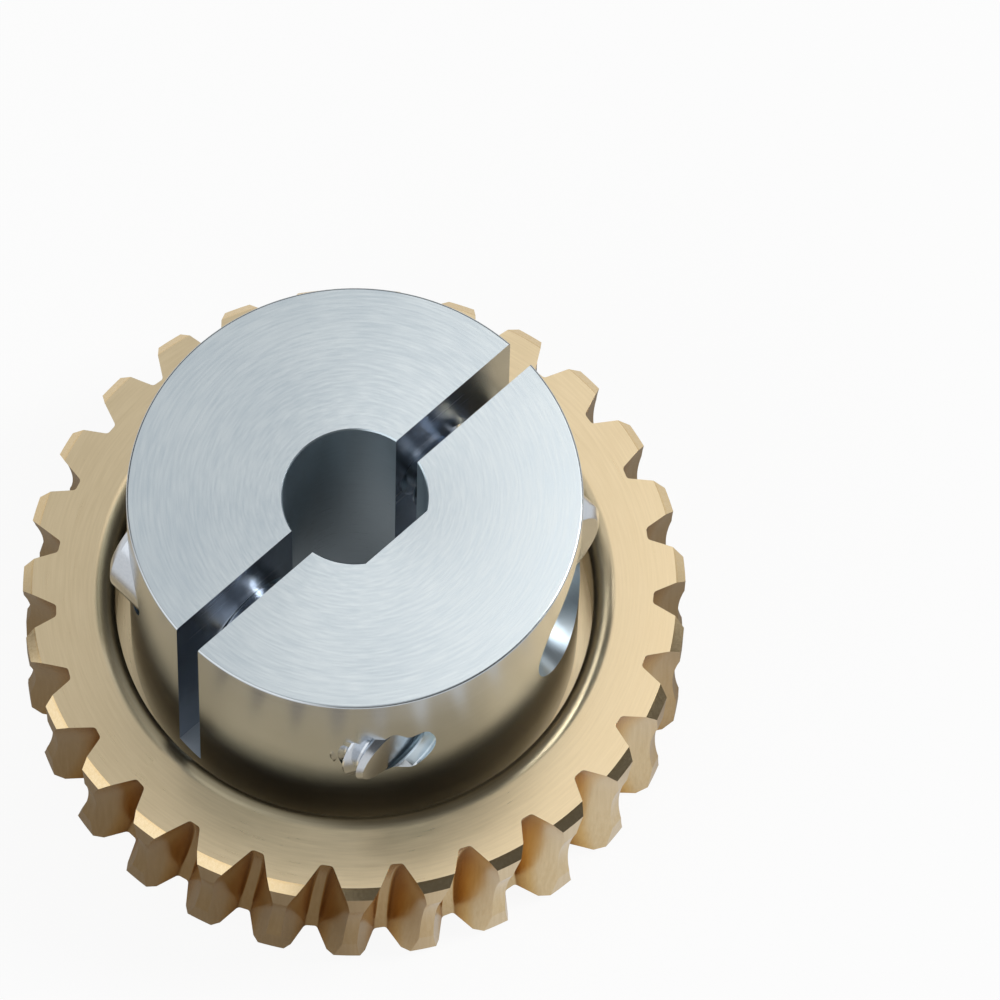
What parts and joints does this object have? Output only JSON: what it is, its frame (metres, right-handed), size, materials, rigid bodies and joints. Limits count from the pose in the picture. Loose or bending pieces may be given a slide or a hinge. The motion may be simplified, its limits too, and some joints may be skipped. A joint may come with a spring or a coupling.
{
  "type": "worm wheel",
  "caption": "Bronze worm wheel rim with throated, slanted teeth, pressed on a split steel clamp hub with a D-shaped bore and opposed socket-head clamp screws.",
  "frame": {"origin": "bore axis at the wheel's flat back face", "axes": "+Z along the bore axis out of the hub's split face; +X along the split; the bore's flat faces +Y and lies on the -Y side"},
  "size_m": [0.0295, 0.0296, 0.018],
  "materials": {
    "rim_bronze": "fine turned, with hobbed tooth flanks",
    "hub_steel": "fine turned",
    "screw_steel": "bright, smooth"
  },
  "bodies": {
    "root": {"worm_wheel_rim": "rim_bronze", "clamp_hub": "hub_steel", "clamp_screws": "screw_steel"}
  },
  "joints": []
}
